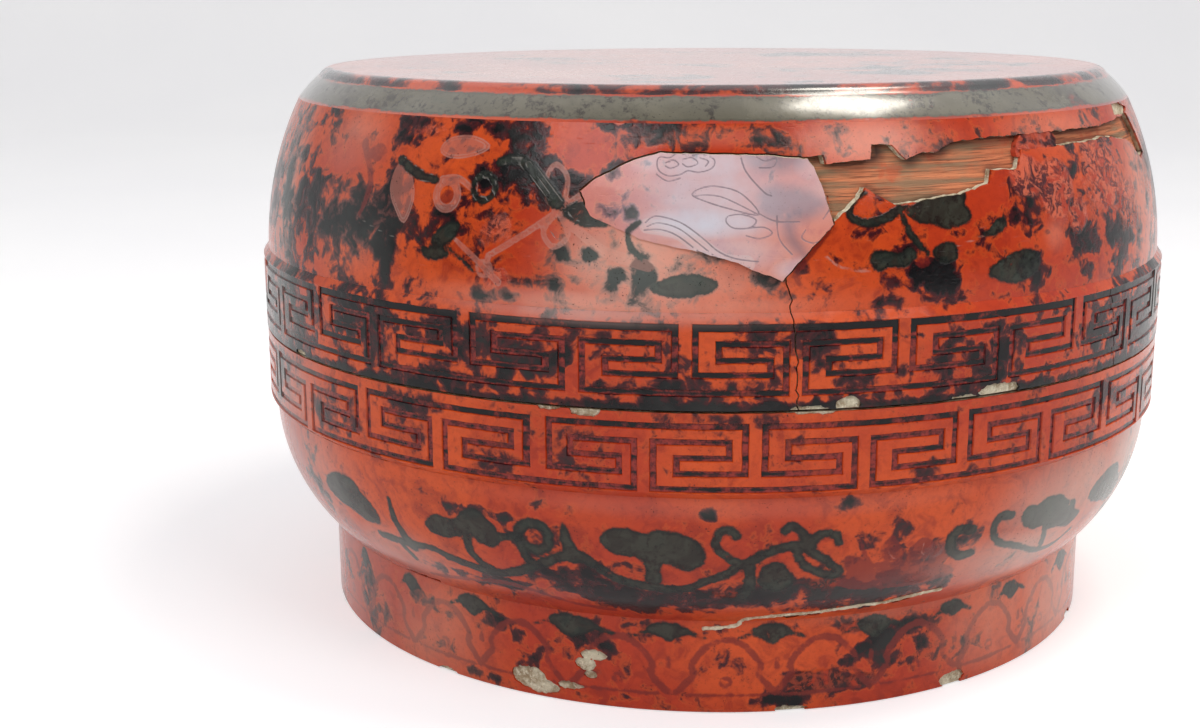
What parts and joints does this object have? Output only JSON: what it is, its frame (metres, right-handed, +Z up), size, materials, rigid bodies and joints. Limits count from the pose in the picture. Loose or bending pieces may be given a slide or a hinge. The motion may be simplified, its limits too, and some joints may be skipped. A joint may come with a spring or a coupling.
{
  "type": "lidded round box",
  "caption": "Round lacquered wooden box on a foot ring, with key-fret rim bands and a lid that lifts off an inner lip; its cracked coat is partly broken away.",
  "frame": {"origin": "centre of the foot's underside, on the surface the box stands on", "axes": "+Z up along the box's own axis, -Y to the front with the cracked plate and the break just right of it, +X to the right"},
  "size_m": [0.322, 0.322, 0.19],
  "materials": {
    "wood_core": "bare, dry, straight-grained",
    "lip_wood": "wood under thin black lacquer, rubbed at its edges",
    "ground_coat": "matt putty-like ground",
    "red_lacquer": "glossy, worn, with black painted ornament",
    "black_lacquer": "satin black lacquer"
  },
  "bodies": {
    "base": {"foot_ring": "wood_core", "base_floor_board_front": "wood_core", "base_floor_board_middle": "wood_core", "base_floor_board_back": "wood_core", "bowl_hoop_lower": "wood_core", "bowl_hoop_middle": "wood_core", "bowl_hoop_upper": "wood_core", "base_band_hoop": "wood_core", "base_lip": "lip_wood", "base_ground_coat": "ground_coat", "foot_lacquer": "red_lacquer", "bowl_lacquer": "red_lacquer", "base_band_lacquer": "red_lacquer", "base_lining": "black_lacquer", "underside_lacquer": "black_lacquer"},
    "lid": {"lid_top_board_front": "wood_core", "lid_top_board_middle": "wood_core", "lid_top_board_back": "wood_core", "lid_shoulder_hoop": "wood_core", "lid_wall_hoop_upper": "wood_core", "lid_wall_hoop_lower": "wood_core", "lid_band_hoop": "wood_core", "lid_ground_coat": "ground_coat", "lid_top_lacquer": "red_lacquer", "lid_wall_lacquer": "red_lacquer", "lid_band_lacquer": "red_lacquer", "lid_lining": "black_lacquer", "lid_lifted_plate": "red_lacquer"}
  },
  "joints": [
    {"name": "lid_lift", "type": "slide", "parent": "base", "child": "lid", "axis": [0, 0, 1], "range_m": [0, 0.15]}
  ]
}
